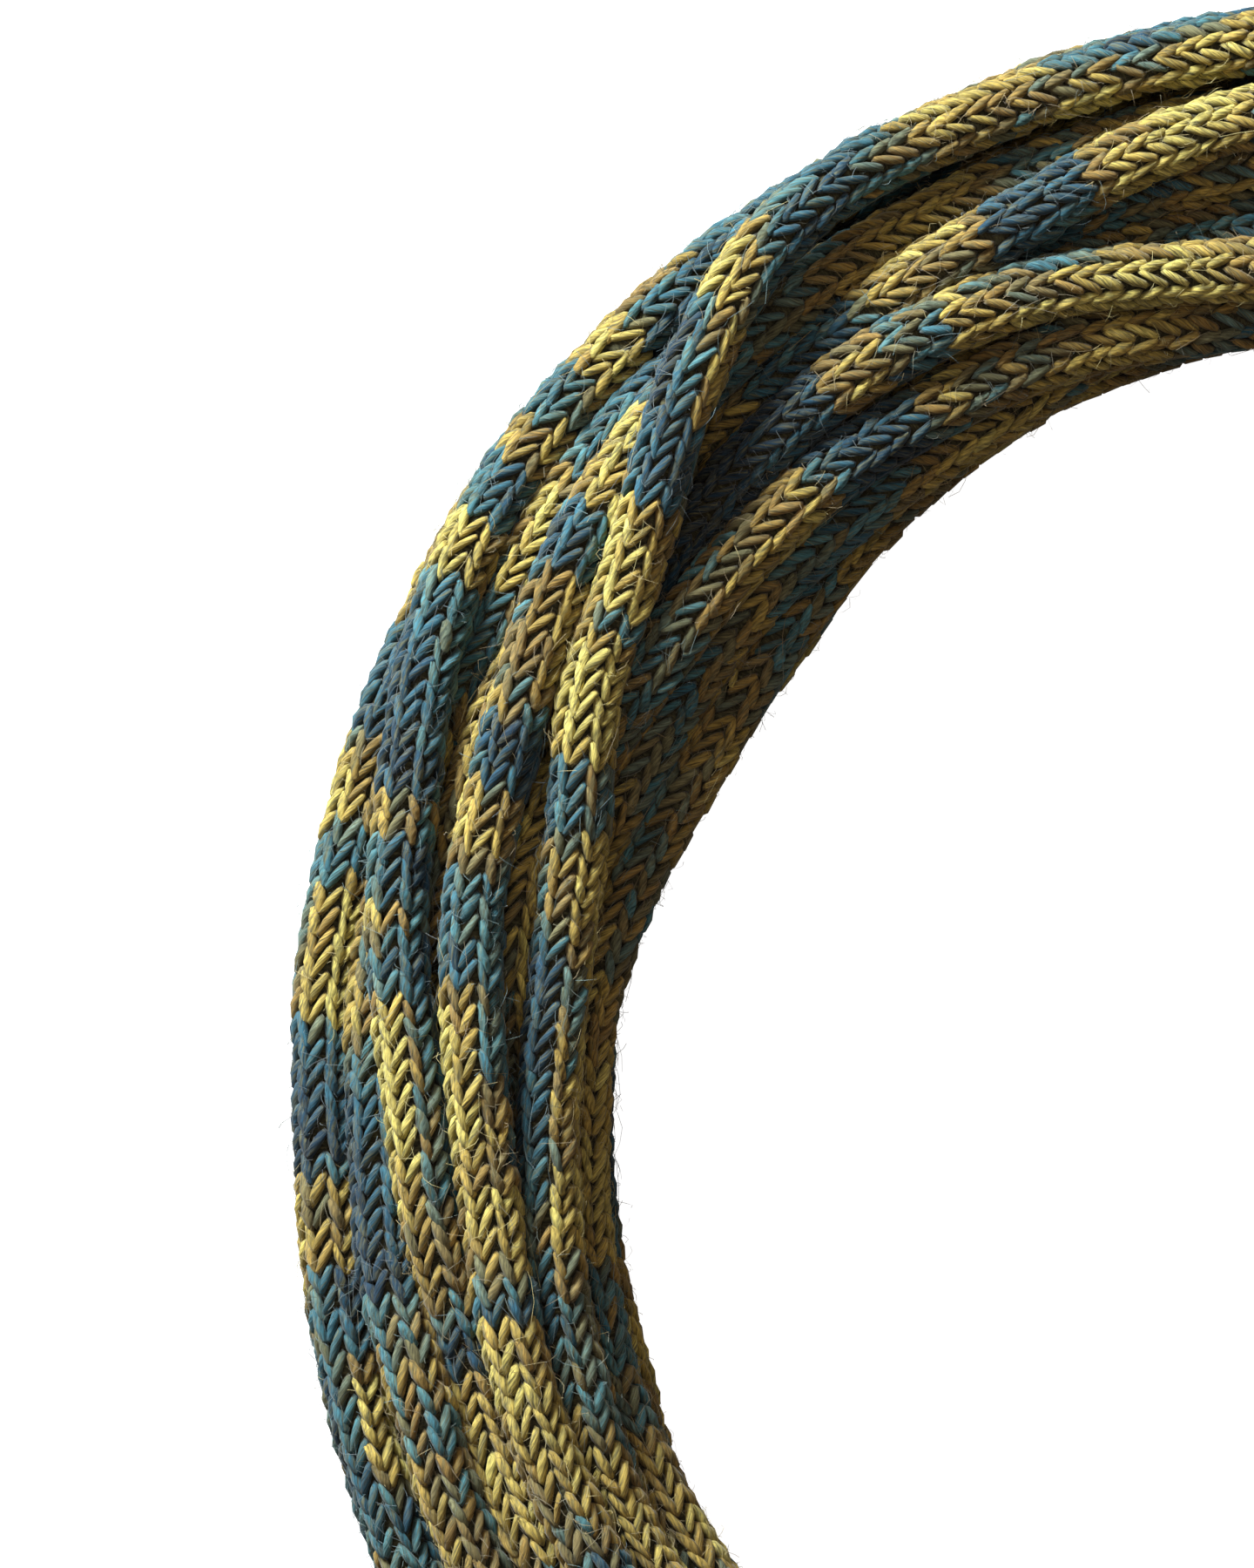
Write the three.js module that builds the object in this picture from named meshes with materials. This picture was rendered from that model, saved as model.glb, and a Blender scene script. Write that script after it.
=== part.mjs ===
// A hank of chain yarn: one long knitted cord wound into a ring that lies flat.
// Millimetres, +Z up. The ring's middle stands over the origin and its underside lies at z = 0.
import * as THREE from 'three';

// The cord and the ring it is wound into
const CORD = 7.5; // diameter of the knitted cord
const RING = 110.8; // from the ring's middle to the middle of the bundle
const BUNDLE_HALF_HEIGHT = 16; // of the packed turns, before any of them crosses over others
const BOXY = 2.4; // shape of the bundle's section: 2 is an ellipse, more is squarer
const LAYER = 6.5; // how far the second layer lies below the first
const SUNK = 1; // how far the lowest turns are pressed flat by the surface they lie on

// Half the bundle's width round the ring: ring angle, half width
const WIDTHS = [
  [100, 19.6], [116, 19.5], [132, 20.9], [146, 21.5], [156, 20.3], [166, 18.1],
  [181, 18.0], [206, 18.1], [285, 19.2], [360, 18.6], [420, 19.3],
];

// How far the bundle's middle lies outside RING round the ring: ring angle, distance
const OUTWARD = [
  [100, 0.2], [110, 0.6], [135, 0.6], [148, 0.2], [158, 0.4], [168, 1.2],
  [181, 1.2], [206, 1.7], [285, 0.4], [360, 0.0], [420, 0.1],
];

// Where each turn starts and ends
const START = 100;
const TURN = 360;

// The turns in the order they are wound. Each row: ring angle in degrees, place round the bundle's
// section in degrees (0 outermost, 90 on top, 180 innermost), height over the wound surface.
const SHOWN_TURNS = {
  rim: [
    [100, -40, 0], [122, -32, 0], [137, -18, 0], [150, -6, 0], [181, 14, 0], [206, 20, 0],
    [300, 18, 0], [400, 26, 0],
  ],
  crossing: [
    [100, 24, 0], [113, 22, 0], [121, 30, 2], [127, 49, 5], [132, 66, 6.5], [137, 78, 6.5],
    [143, 89, 4], [150, 94, 1], [165, 117, 0], [181, 138, 0], [206, 127, 0], [285, 132, 0],
  ],
  inner_crest: [
    [100, 163, 0], [118, 140, 0], [137, 119, 0], [150, 114, -1], [162, 119, -5], [172, 124, -7],
    [285, 128, -7],
  ],
  fan_low: [
    [100, 125, -8], [118, 113, -6], [128, 106, -6], [140, 112, -8], [206, 145, -7], [285, 165, -7],
  ],
  inner_low: [
    [100, 184, -3], [118, 168, 0], [137, 147, -1], [150, 142, -1.5], [168, 150, -4],
    [206, 180, -6], [320, 190, -7], [380, 199, -6],
  ],
  inner_rim: [
    [100, 212, 0], [118, 195, 0], [137, 174, 0], [150, 165, 0], [206, 162, 0], [285, 184, 0],
    [350, 208, 0],
  ],
  shoulder: [
    [100, -6, 0], [118, 0, 0], [137, 16, 0], [150, 26, 0], [165, 50, 0], [181, 73, 0],
    [206, 88, 0], [285, 100, 0],
  ],
  fan_inner: [
    [100, 133, 0], [108, 120, 0], [118, 98, 0], [130, 93, -1], [138, 95, -4], [146, 100, -7],
    [285, 100, -7],
  ],
  deep: [
    [100, 80, -6], [108, 80, -6.5], [120, 78, -7.5], [181, 45, -8], [285, 42, -8],
  ],
  second_rim: [
    [100, 110, -11], [128, 80, -10], [150, 45, -8], [168, 55, -7], [178, 60, -4.5],
    [206, 62, -2], [285, 66, -1],
  ],
  fan_outer: [
    [100, 65, 0], [110, 74, 0], [124, 80, -1], [133, 83, -3], [142, 80, -6], [206, 78, -8],
    [285, 70, -7], [380, 55, -5],
  ],
  crest: [
    [100, 50, -7.5], [116, 54, -7.5], [126, 58, -6], [134, 60, -4], [140, 61, -2],
    [150, 73, 0], [165, 87, 0], [181, 100, 0], [206, 105, 0], [250, 88, 2], [300, 50, 4],
    [345, 14, 2], [400, 0, -3],
  ],
};
const UNDERSIDE_TURNS = 6; // between the inner rim and the outer rim, they lie on the surface below
const AFTER = 'inner_rim'; // the shown turn that the underside turns follow
const UNDERSIDE_ANGLES = [100, 118, 137, 150, 181, 206, 285];
const ROOMY = 27; // degrees round the bundle that a turn of the first layer needs
const CROWDED = 15; // with no more than this each, every second one lies in the second layer

// How the turns settle against each other
const SECTIONS = 180; // places round the ring where the turns are worked out
const SMOOTHING = 6; // passes over the places before the turns settle
const MOVE_SMOOTHING = 8; // over each move
const LAST_SMOOTHING = 4;
const ROUNDS = 160;
const HOLD = 0.1; // pull of a shown turn back towards its own place
const LOOSE_HOLD = 0.04; // the same of an underside turn
const SHARE = 0.3; // part of an overlap that each of two turns gives way at a time
const PACKED = 0.97 * CORD; // turns nearer than this push each other apart
const LEAST_GAP = 0.3;

// The solid's mesh
const SECTION_STEP = 2; // every second section is a row of the mesh
const ROUND_POINTS = 64; // points round each section
const BRIDGE = 1.5; // a gap between turns is filled up to this many cord radii from a turn's middle

const HEART = BUNDLE_HALF_HEIGHT - SUNK; // height of the section's middle

function along(rows, angle, column) {
  const next = rows.findIndex((row) => row[0] >= angle);
  if (next === 0) return rows[0][column];
  if (next < 0) return rows[rows.length - 1][column];
  const before = rows[next - 1];
  const after = rows[next];
  const share = (angle - before[0]) / (after[0] - before[0]);
  return before[column] + share * (after[column] - before[column]);
}

// A table that runs once round the ring and joins up with its own start.
function roundRing(rows, angle) {
  const closed = [...rows, [rows[0][0] + TURN, rows[0][1]]];
  return along(closed, START + ((angle - START) % TURN), 1);
}

// The turns that nobody sees share the room that is left below the two rims.
function undersideTurn(number) {
  const share = number / (UNDERSIDE_TURNS + 1);
  return UNDERSIDE_ANGLES.map((angle) => {
    const inner = along(SHOWN_TURNS.inner_rim, angle, 1);
    const outer = along(SHOWN_TURNS.rim, angle, 1) + TURN;
    const step = (outer - inner) / (UNDERSIDE_TURNS + 1);
    const crowded = THREE.MathUtils.clamp((ROOMY - step) / (ROOMY - CROWDED), 0, 1);
    const lift = number % 2 === 0 ? -LAYER * crowded : 0;
    return [angle, inner + share * (outer - inner), lift];
  });
}

function windingOrder() {
  const turns = [];
  for (const [name, rows] of Object.entries(SHOWN_TURNS)) {
    turns.push({ rows, hold: HOLD });
    if (name !== AFTER) continue;
    for (let number = 1; number <= UNDERSIDE_TURNS; number += 1) {
      turns.push({ rows: undersideTurn(number), hold: LOOSE_HOLD });
    }
  }
  return turns;
}

const turnAngles = Array.from({ length: SECTIONS }, (_, i) => START + (i * TURN) / SECTIONS);

// Every turn runs on into the next one, so each ends where the next begins.
function layTurns() {
  const turns = windingOrder();
  const place = [];
  const lift = [];
  const hold = [];
  let wound = 0;
  turns.forEach(({ rows, hold: pull }, i) => {
    const following = turns[(i + 1) % turns.length].rows[0];
    const last = rows[rows.length - 1][1] + wound;
    const woundNext = TURN * Math.round((last - following[1]) / TURN);
    const whole = rows.map(([angle, at, high]) => [angle, at + wound, high]);
    whole.push([START + TURN, following[1] + woundNext, following[2]]);
    for (const angle of turnAngles) {
      place.push(along(whole, angle, 1));
      lift.push(along(whole, angle, 2));
      hold.push(pull);
    }
    wound = woundNext;
  });
  return { place, lift, hold, wound };
}

// values is one closed chain through all turns; ends differ by jump where it closes.
function smooth(values, passes, jump = 0) {
  let chain = values;
  const size = values.length;
  for (let pass = 0; pass < passes; pass += 1) {
    chain = chain.map((value, i) => {
      const before = i > 0 ? chain[i - 1] : chain[size - 1] - jump;
      const after = i < size - 1 ? chain[i + 1] : chain[0] + jump;
      return value * 0.5 + (before + after) * 0.25;
    });
  }
  return chain;
}

// A point of the section from its place round the bundle and its lift.
function sectionPoint(angle, place, lift) {
  const reach = roundRing(WIDTHS, angle) - CORD / 2 + lift;
  const rise = BUNDLE_HALF_HEIGHT - CORD / 2 + lift;
  const turned = THREE.MathUtils.degToRad(place);
  const soft = (value) => Math.sign(value) * Math.abs(value) ** (2 / BOXY);
  const out = roundRing(OUTWARD, angle) + reach * soft(Math.cos(turned));
  return [out, HEART + rise * soft(Math.sin(turned))];
}

// Turns push each other apart until none lies inside another, and none sinks into the surface.
function settle(out, high, hold) {
  const count = out.length / SECTIONS;
  const homeOut = out.slice();
  const homeHigh = high.slice();
  for (let round = 0; round < ROUNDS; round += 1) {
    const moveOut = out.map((value, i) => (homeOut[i] - value) * hold[i]);
    const moveHigh = high.map((value, i) => (homeHigh[i] - value) * hold[i]);
    for (let section = 0; section < SECTIONS; section += 1) {
      for (let one = 0; one < count; one += 1) {
        for (let other = one + 1; other < count; other += 1) {
          const a = one * SECTIONS + section;
          const b = other * SECTIONS + section;
          const gap = Math.hypot(out[a] - out[b], high[a] - high[b]);
          if (gap >= PACKED) continue;
          const push = ((PACKED - gap) * SHARE) / Math.max(gap, LEAST_GAP);
          moveOut[a] += (out[a] - out[b]) * push;
          moveOut[b] -= (out[a] - out[b]) * push;
          moveHigh[a] += (high[a] - high[b]) * push;
          moveHigh[b] -= (high[a] - high[b]) * push;
        }
      }
    }
    const shiftOut = smooth(moveOut, MOVE_SMOOTHING);
    const shiftHigh = smooth(moveHigh, MOVE_SMOOTHING);
    out = out.map((value, i) => value + shiftOut[i]);
    high = high.map((value, i) => Math.max(value + shiftHigh[i], CORD / 2 - SUNK));
  }
  return { out: smooth(out, LAST_SMOOTHING), high: smooth(high, LAST_SMOOTHING) };
}

function woundTurns() {
  const laid = layTurns();
  const place = smooth(laid.place, SMOOTHING, laid.wound);
  const lift = smooth(laid.lift, SMOOTHING);
  const points = place.map((value, i) => sectionPoint(turnAngles[i % SECTIONS], value, lift[i]));
  return settle(points.map((point) => point[0]), points.map((point) => point[1]), laid.hold);
}

// How far the bundle reaches from the section's middle in one direction, over all its turns.
function reachAt(turns, section, across, up) {
  let reach = 0;
  for (let i = section; i < turns.out.length; i += SECTIONS) {
    const out = turns.out[i];
    const high = turns.high[i] - HEART;
    const ahead = out * across + high * up;
    const aside = Math.abs(out * up - high * across);
    if (ahead < 0 || aside > (BRIDGE * CORD) / 2) continue;
    const bulge = Math.sqrt(Math.max(0, (CORD / 2) ** 2 - aside ** 2));
    reach = Math.max(reach, ahead + bulge);
  }
  const floor = up < 0 ? -HEART / up : Infinity;
  return Math.min(reach, floor);
}

function hankGeometry() {
  const turns = woundTurns();
  const rows = SECTIONS / SECTION_STEP;
  const points = [];
  const faces = [];
  for (let row = 0; row < rows; row += 1) {
    const angle = THREE.MathUtils.degToRad(turnAngles[row * SECTION_STEP]);
    for (let i = 0; i < ROUND_POINTS; i += 1) {
      const round = ((i + 0.5) / ROUND_POINTS) * 2 * Math.PI;
      const across = Math.cos(round);
      const up = Math.sin(round);
      const reach = reachAt(turns, row * SECTION_STEP, across, up);
      const radius = RING + reach * across;
      points.push(radius * Math.cos(angle), radius * Math.sin(angle), HEART + reach * up);
      const nextRow = (row + 1) % rows;
      const nextPoint = (i + 1) % ROUND_POINTS;
      const here = row * ROUND_POINTS + i;
      const beside = row * ROUND_POINTS + nextPoint;
      const further = nextRow * ROUND_POINTS + i;
      const opposite = nextRow * ROUND_POINTS + nextPoint;
      faces.push(here, further, opposite, here, opposite, beside);
    }
  }
  const geometry = new THREE.BufferGeometry();
  geometry.setAttribute('position', new THREE.Float32BufferAttribute(points, 3));
  geometry.setIndex(faces);
  geometry.computeVertexNormals();
  return geometry;
}

// The hank is laid over the middle of its own outline.
function hank() {
  const geometry = hankGeometry();
  geometry.computeBoundingBox();
  const middle = geometry.boundingBox.getCenter(new THREE.Vector3());
  geometry.translate(-middle.x, -middle.y, -geometry.boundingBox.min.z);
  const wool = new THREE.MeshStandardMaterial({ color: 0x5c6b4a, roughness: 0.9, metalness: 0 });
  const mesh = new THREE.Mesh(geometry, wool);
  mesh.name = 'yarn_hank';
  return mesh;
}

const object = new THREE.Group();
object.add(hank());

export default object;
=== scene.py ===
import math

import bpy
import numpy as np
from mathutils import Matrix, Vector


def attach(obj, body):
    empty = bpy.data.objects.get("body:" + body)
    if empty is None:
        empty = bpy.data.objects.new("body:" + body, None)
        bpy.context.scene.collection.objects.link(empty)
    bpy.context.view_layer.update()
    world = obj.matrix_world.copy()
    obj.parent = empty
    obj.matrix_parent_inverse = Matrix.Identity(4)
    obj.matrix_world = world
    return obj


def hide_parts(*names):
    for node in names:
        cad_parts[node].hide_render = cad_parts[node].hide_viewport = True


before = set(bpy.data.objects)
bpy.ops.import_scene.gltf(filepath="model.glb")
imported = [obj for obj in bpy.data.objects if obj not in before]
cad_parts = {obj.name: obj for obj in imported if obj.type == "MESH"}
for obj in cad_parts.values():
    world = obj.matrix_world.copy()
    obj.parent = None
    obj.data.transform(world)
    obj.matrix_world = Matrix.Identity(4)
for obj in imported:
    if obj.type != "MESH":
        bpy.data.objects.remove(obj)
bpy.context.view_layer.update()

# Lengths are in millimetres and angles in degrees, until a mesh is made
MM = 0.001

# The radius of the wound ring to the middle of its bundle, and the cord it is wound from
RING = 110.8
CORD = 7.5
CORD_RADIUS = CORD / 2

# Half the bundle's height, how far its lowest turns are pressed flat by the surface that
# they lie on, and the height of its middle over that surface
BUNDLE_HALF_HEIGHT = 16
SUNK = 1
HEART = BUNDLE_HALF_HEIGHT - SUNK

# The shape of the bundle's section, where 2 is an ellipse and more is squarer, and how far
# its second layer lies below the first
BOXY = 2.4
LAYER = 6.5

# No point of the yarn comes nearer to the surface below than this
SURFACE_GAP = 0.02

# The bundle's half width at ring angles, from one end of the list round to its start again
WIDTHS = [
    (100, 19.6), (116, 19.2), (132, 20.9), (146, 21.3), (156, 19.9), (166, 17.6),
    (181, 17.7), (206, 18.1), (285, 19.2), (360, 18.6), (420, 19.3),
]

# How far the bundle's middle lies outside RING at ring angles
OUTWARD = [
    (100, 0.2), (110, 0.6), (120, 0.3), (132, 0.6), (148, 0.0), (158, 0.0), (168, 0.6),
    (181, 0.6), (190, 1.2), (206, 1.7), (285, 0.4), (360, 0.0), (420, 0.1),
]

# The turns that show, in the order that they are wound. Each row is a ring angle, the
# cord's place round the bundle there (0 outermost, 90 on top, 180 innermost) and its lift
SHOWN_TURNS = {
    "rim": [
        (100, -40, 0), (122, -34, 0), (137, -24, 0), (150, -8, 0), (165, 10, 0), (181, 20, 0),
        (206, 20, 0), (300, 18, 0), (400, 26, 0),
    ],
    "crossing": [
        (100, 24, 0), (113, 22, 0), (119, 28, 2), (125, 48, 5), (131, 66, 6.5), (137, 80, 6.5),
        (143, 91, 4), (150, 96, 1), (158, 112, 0), (165, 124, 0), (172, 134, 0), (181, 139, 0),
        (206, 129, 0), (285, 132, 0),
    ],
    "inner_crest": [
        (100, 168, 0), (118, 146, 0), (137, 122, 0), (150, 116, -1), (162, 119, -5),
        (172, 124, -7), (285, 128, -7),
    ],
    "fan_low": [
        (100, 125, -8), (118, 113, -6), (128, 106, -6), (140, 112, -8), (206, 145, -7),
        (285, 165, -7),
    ],
    "inner_low": [
        (100, 184, -3), (118, 168, 0), (137, 147, -1), (150, 142, -1.5), (168, 150, -4),
        (206, 180, -6), (320, 190, -7), (380, 199, -6),
    ],
    "inner_rim": [
        (100, 212, 0), (118, 195, 0), (137, 174, 0), (150, 165, 0), (206, 162, 0),
        (285, 184, 0), (350, 208, 0),
    ],
    "shoulder": [
        (100, -6, 0), (118, -2, 0), (137, 10, -0.8), (148, 19, -0.5), (156, 35, 0),
        (165, 54, 0), (172, 70, 0), (181, 82, -1), (190, 95, -4), (206, 98, -5), (285, 100, 0),
    ],
    "fan_inner": [
        (100, 136, 0), (108, 121, 0), (118, 101, 0), (126, 96, -0.5), (133, 96, -2.5),
        (139, 98, -5), (146, 100, -7), (285, 100, -7),
    ],
    "deep": [
        (100, 80, -9), (108, 80, -9), (120, 78, -9.5), (181, 45, -8), (285, 42, -8),
    ],
    "second_rim": [
        (100, 110, -11), (122, 80, -10), (128, 54, -8), (134, 40, -5), (140, 38, -4.5),
        (150, 34, -5), (158, 24, -5.5), (168, 30, -5.5), (176, 45, -4.5), (181, 54, -3.5),
        (190, 70, -2), (206, 76, -1), (285, 66, -1),
    ],
    "fan_outer": [
        (100, 69, -1), (105, 76, -1), (110, 82, -1.5), (115, 87, -2.5), (121, 90, -4),
        (127, 90, -6), (134, 86, -7), (142, 80, -7), (206, 78, -8), (285, 70, -7),
        (380, 60, -5),
    ],
    "crest": [
        (100, 50, -8.5), (116, 54, -8.5), (126, 60, -6.5), (134, 66, -2.5), (140, 70, 0),
        (150, 78, 0), (165, 90, 0), (181, 101, 1), (206, 107, 2), (250, 88, 2), (300, 50, 4),
        (345, 14, 2), (400, 0, -3),
    ],
}

# The turns of the underside follow this one. Each needs so many degrees round the bundle to
# lie in the first layer, and with no more than the second number every other one lies lower
BEFORE_UNDERSIDE = "inner_rim"
UNDERSIDE_TURNS = 6
UNDERSIDE_ANGLES = [100, 118, 137, 150, 181, 206, 285]
ROOMY = 27
CROWDED = 15

# The ring angle where each turn starts, the places round the ring where the turns are
# worked out, and the finer steps between two of these places
START = 100
TURN = 360
SECTIONS = 180
SECTION_STEP = TURN / SECTIONS
FINER = 6
STEPS_A_TURN = SECTIONS * FINER

# Passes that smooth the turns before they settle, their moves while they do, and the end
SMOOTHING = 6
MOVE_SMOOTHING = 8
LAST_SMOOTHING = 4

# How turns that overlap settle: how often, the pull back to their own places on a shown turn
# and on a turn of the underside, and the part of an overlap that each of two gives way
ROUNDS = 160
HOLD = 0.1
LOOSE_HOLD = 0.04
SHARE = 0.3
PACKED = 0.97 * CORD
LEAST_GAP = 0.3

# The knitted tube: stitches stand in columns round the cord and in rows along it
COLUMNS = 6
COLUMN_WIDTH = TURN / COLUMNS
ROW = 2.56

# How the columns turn round the cord: degrees in a millimetre, the side that one of them
# turns up at a ring angle, and how far they wander to and fro in what length
TWIST = -0.15
FACING = 13
FACING_ANGLE = 150
WANDER = 5
WANDER_LENGTH = 61

# Where the middle of an arm lies beside its column, as a part of the column's width
STEEP_MIDDLE = -0.33
SLANTED_MIDDLE = 0.15

# The dyed repeat of the yarn, counted in stitches, and how it drifts and wanders along the
# yarn: the size of each wave, the stitches that stretch it out and where it starts
REPEAT = 6.4
REPEAT_DRIFTS = [(1.5, 57, 0), (1.3, 211, 2)]
LONG_WAVES = [(0.3, 47, 1)]
PATCHES = 0.45
PATCH_SMOOTHING = 2
SECOND_ARM = 0.4

# How far one arm of each V takes the other colour, which changes over along the cord
SWAP = 0.3
SWAP_LENGTH = 33
SWAP_START = 2

# How much of a turn's colour is the dyed repeat and how much yellower it is as a whole, for
# a turn with colours of its own below and for the rest
OWN_REPEAT = 0.36
OWN_YELLOWER = 0.05
PLAIN_REPEAT = 0.75
PLAIN_YELLOWER = 0.08

# The degrees of the ring in which a turn's own colours fade out, and how the arms vary in
# colour and in brightness
COLOUR_FADE = 4
ARM_COLOUR = 0.17
ARM_BRIGHTNESS = 0.12
DULLEST = 0.6
BRIGHTEST = 1.5

# The inside of a turn is painted in shade: its colour as a part of the brightness of its stitches
INSIDE_SHADE = 0.2

# How far the fibres turn round an arm from its tip to its end, and how far apart the
# fibres of different arms are taken
FIBRE_TWIST = 0.5
FIBRE_SEEDS = 50

# The yarn's colours, from the bluest to the yellowest, as linear red, green and blue
YARN_COLOURS = [
    (-1.40, (0.010, 0.026, 0.046)),
    (-0.90, (0.014, 0.048, 0.080)),
    (-0.50, (0.026, 0.094, 0.132)),
    (-0.15, (0.052, 0.142, 0.160)),
    (0.05, (0.108, 0.108, 0.058)),
    (0.25, (0.200, 0.125, 0.036)),
    (0.60, (0.335, 0.238, 0.056)),
    (1.20, (0.450, 0.378, 0.104)),
]

# Where a shown turn is blue or yellow: a ring angle, the colour there on the scale above,
# and how much yellower its outer side is than its inner side
TURN_COLOURS = {
    "rim": [
        (124, -0.2, 0.1), (149.5, -0.3, 0.1), (150.5, 0.5, 0), (153.5, 0.5, 0), (154.5, -0.5, 0),
        (159.5, -0.5, 0), (160.5, 0.6, 0), (164, 0.6, 0), (165, -0.5, 0), (167, -0.3, -0.5),
        (168, 0.5, -1), (174.5, 0.5, -0.8), (175.5, -0.9, 0), (182, -0.9, 0), (182.7, 0.8, 0),
        (187, 0.8, 0), (188, -0.5, 0), (192.5, -0.5, 0), (193.5, 0.2, -1), (199, 0.2, -1),
        (200.5, -0.4, 0), (206, 0.1, 0),
    ],
    "second_rim": [
        (98, 0.1, 0), (131, 0.1, 0), (133, -0.4, 0), (142.5, -0.4, 0), (143.5, 0.5, 0),
        (149, 0.5, 0), (150.5, -0.4, 0), (155, -0.2, 0), (158, 0.2, 0), (175, 0.3, 0),
        (177, -0.9, 0), (189, -0.9, 0), (190.5, 0.4, 0), (206, 0.4, 0),
    ],
    "shoulder": [
        (112, -0.4, 0.4), (134.5, -0.5, 0.4), (135.5, 0.5, 0), (137, 0.5, 0), (138, -0.5, 0),
        (140.5, -0.5, 0), (141.5, 0.6, 0), (143, 0.5, 0), (144, -0.5, 0), (146.5, -0.5, 0),
        (147.5, 0.6, 0), (150, 0.6, 0), (151, -0.6, 0), (161.5, -0.6, 0), (162.5, 0.5, 0),
        (164, 0.5, 0), (165, -0.6, 0), (167, -0.4, 0), (168, 0.4, 0.3), (169, 0.4, 0.3),
        (170, -0.6, 0), (172.5, -0.6, 0), (173.5, 0.3, 1.2), (184, 0.2, 1.2), (185, 0.3, 0.5),
        (190.7, 0.4, 0.3), (191.5, -0.8, 0), (194, -0.8, 0), (195, 0.4, 0), (206, 0.3, 0),
    ],
    "crest": [
        (96, 0.2, 0), (134, 0.15, 0), (136.5, -0.3, 0), (137.5, 0.6, 0), (143, 0.6, 0),
        (144, -0.6, 0), (147, -0.5, 0), (148, 0.7, 0), (155, 0.6, 0), (156, -0.6, 0),
        (159.5, -0.6, 0), (160.5, 0.5, 0), (164, 0.4, -0.2), (165, -0.7, 0), (171, -0.6, 0.2),
        (172.5, 0.4, 0.9), (178, 0.5, 0.6), (181, 0.6, 0.3), (181.7, -0.2, 0.3),
        (183, -0.2, 0.3), (183.7, 0.7, 0), (189.5, 0.6, 0), (190.2, -0.5, 0), (191.4, -0.5, 0),
        (192, 0.6, 0), (206, 0.5, 0),
    ],
    "crossing": [
        (98, 0.4, -0.7), (103, 0.4, -0.7), (103.8, -0.3, -0.3), (105.8, -0.3, -0.3),
        (106.5, 0.5, -0.8), (109, 0.5, -0.8), (110, 0.6, 0), (116.5, 0.5, 0), (118, -0.3, 0.3),
        (126.5, -0.4, 0.2), (128, 0.3, 0.6), (130, 0.3, 0.6), (131.5, -0.3, -0.7),
        (136, -0.3, -0.7), (137, -0.6, 0), (140.5, -0.6, 0),
        (141.5, 0.7, 0), (146.8, 0.7, 0), (147.5, -0.4, 0.3), (148.8, -0.4, 0.3),
        (149.5, 0.7, 0), (155.5, 0.8, 0), (157, -0.6, 0), (160.5, -0.6, 0), (161.5, 0.5, 0),
        (167.5, 0.4, -0.2), (168.5, -0.2, -0.7), (172, -0.2, -0.7), (173, 0, -1.1),
        (185, 0, -1.1), (187, 0.1, -0.4), (190, -0.3, 0), (194, -0.2, 0), (196, 0.3, 0),
        (206, 0.3, 0),
    ],
    "deep": [
        (96, 0.1, 0), (206, 0.2, 0),
    ],
    "fan_outer": [
        (96, 0.6, 0.1), (108.5, 0.6, 0.1), (110, -0.6, 0), (115.5, -0.6, 0), (116.5, 0.5, 0),
        (123.5, 0.4, 0), (125, -1, 0), (131, -1, 0), (133, 0.1, 0), (150, 0.2, 0), (175, 0.2, 0),
        (188, 0.2, 0), (190, 0.4, 0), (206, 0.4, 0),
    ],
    "fan_inner": [
        (98, 0.6, -0.5), (120.5, 0.5, -0.5), (121.5, -0.5, 0), (124.5, -0.5, 0),
        (125.5, 0.2, 0), (128, 0.2, 0), (129.5, -1.2, 0), (140, -1.2, 0),
    ],
    "inner_crest": [
        (98, 0.3, 0), (103, 0.3, 0), (113, 0.5, -0.1), (124.5, 0.4, 0), (126, -1.1, 0),
        (132.5, -1.1, 0), (134, 0.3, 0), (143.5, 0.3, 0), (145, 0.1, 0), (160, 0.3, 0),
        (180, 0.4, 0), (186, 0.4, 0), (190, 0, 0), (206, 0.3, 0),
    ],
    "fan_low": [
        (98, 0.1, 0), (120, 0.1, 0), (126, -0.4, 0), (134, -0.3, 0), (142, 0.2, 0), (206, 0.3, 0),
    ],
    "inner_low": [
        (100, 0.2, 0), (118, 0.2, 0), (126, 0.3, 0), (132, -0.2, 0), (146, 0, 0),
        (152, 0.2, 0), (170, 0.3, 0), (186, 0.4, 0), (191, -0.1, 0), (206, 0.3, 0),
    ],
    "inner_rim": [
        (98, 0.3, 0), (130, 0.3, 0), (136, 0, 0), (141, 0.3, 0), (149, 0.1, 0),
        (156, 0.3, 0), (186, 0.4, 0), (192, -0.1, 0), (206, 0.3, 0),
    ],
}


def rows_at(rows, angle, column):
    """One column of a table of rows, read at a ring angle."""
    return np.interp(angle, [row[0] for row in rows], [row[column] for row in rows])


def round_ring(rows, angle):
    """A table that runs once round the ring and joins up with its own start."""
    closed = rows + [(rows[0][0] + TURN, rows[0][1])]
    return rows_at(closed, (angle - START) % TURN + START, 1)


def underside_rows(number):
    """The rows of one turn of the underside, spaced between the inner rim and the rim."""
    rows = []
    for angle in UNDERSIDE_ANGLES:
        inner = rows_at(SHOWN_TURNS[BEFORE_UNDERSIDE], angle, 1)
        outer = rows_at(SHOWN_TURNS["rim"], angle, 1) + TURN
        step = (outer - inner) / (UNDERSIDE_TURNS + 1)
        crowding = min(max((ROOMY - step) / (ROOMY - CROWDED), 0), 1)
        lift = -LAYER * crowding if number % 2 == 0 else 0
        rows.append((angle, inner + number * step, lift))
    return rows


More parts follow.
